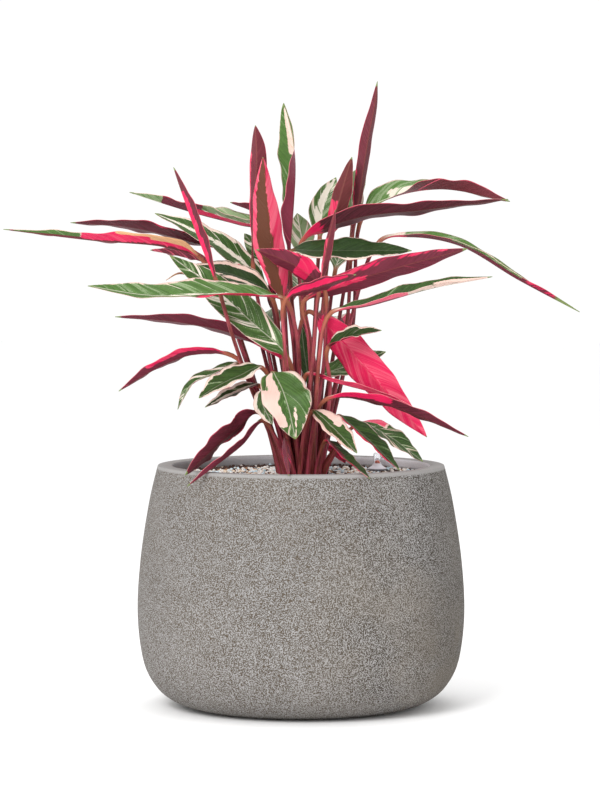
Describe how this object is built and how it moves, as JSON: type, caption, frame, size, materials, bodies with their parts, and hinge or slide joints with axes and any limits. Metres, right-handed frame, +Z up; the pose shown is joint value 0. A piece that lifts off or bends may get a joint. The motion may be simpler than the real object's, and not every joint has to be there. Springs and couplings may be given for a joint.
{
  "type": "potted prayer plant",
  "caption": "Prayer plant with long variegated pointed leaves on red stalks, standing in granules in a round bellied stone-look planter with a water level gauge.",
  "frame": {"origin": "centre of the planter's flat foot, on the surface it stands on", "axes": "+Z up, -Y towards the viewer of the front, +X to the right seen from the front"},
  "size_m": [0.7315, 0.4355, 0.8011],
  "materials": {
    "planter": "rough speckled grey stone-look composite with a smooth lip",
    "substrate": "rough brown fill",
    "granules": "loose mineral granules, white, cream, grey, tan and brown",
    "gauge_clear": "clear smooth plastic",
    "gauge_red": "smooth red plastic",
    "leaf_green": "satin living leaf, green with cream bands, maroon underside, red stalk",
    "leaf_maroon": "satin living leaf showing its maroon underside, red stalk",
    "leaf_pink": "satin living leaf showing its hot pink underside, red stalk"
  },
  "bodies": {
    "root": {"planter": "planter", "substrate": "substrate", "granules": "granules", "gauge_tube": "gauge_clear", "gauge_float": "gauge_red", "leaf_upright_01": "leaf_maroon", "leaf_upright_02": "leaf_maroon", "leaf_upright_03": "leaf_maroon", "leaf_upright_04": "leaf_green", "leaf_upright_05": "leaf_maroon", "leaf_upright_06": "leaf_pink", "leaf_upright_07": "leaf_maroon", "leaf_upright_08": "leaf_green", "leaf_upright_09": "leaf_green", "leaf_upright_10": "leaf_green", "leaf_left_01": "leaf_green", "leaf_left_02": "leaf_maroon", "leaf_left_03": "leaf_maroon", "leaf_left_04": "leaf_pink", "leaf_left_05": "leaf_maroon", "leaf_left_06": "leaf_green", "leaf_left_07": "leaf_green", "leaf_left_08": "leaf_green", "leaf_left_09": "leaf_green", "leaf_left_10": "leaf_maroon", "leaf_left_11": "leaf_maroon", "leaf_left_12": "leaf_pink", "leaf_left_13": "leaf_green", "leaf_left_14": "leaf_green", "leaf_left_15": "leaf_green", "leaf_left_16": "leaf_maroon", "leaf_left_17": "leaf_maroon", "leaf_left_18": "leaf_green", "leaf_front_01": "leaf_green", "leaf_front_02": "leaf_green", "leaf_front_03": "leaf_maroon", "leaf_front_04": "leaf_maroon", "leaf_front_05": "leaf_maroon", "leaf_right_01": "leaf_green", "leaf_right_02": "leaf_maroon", "leaf_right_03": "leaf_green", "leaf_right_04": "leaf_green", "leaf_right_05": "leaf_maroon", "leaf_right_06": "leaf_maroon", "leaf_right_07": "leaf_green", "leaf_right_08": "leaf_pink", "leaf_right_09": "leaf_green", "leaf_right_10": "leaf_green", "leaf_right_11": "leaf_pink", "leaf_right_12": "leaf_maroon", "leaf_right_13": "leaf_green", "leaf_right_14": "leaf_green", "leaf_centre_01": "leaf_green", "leaf_back_01": "leaf_maroon", "leaf_back_02": "leaf_green", "leaf_back_03": "leaf_green", "leaf_back_04": "leaf_green", "leaf_back_05": "leaf_green", "leaf_back_06": "leaf_green", "leaf_back_07": "leaf_green"}
  },
  "joints": []
}
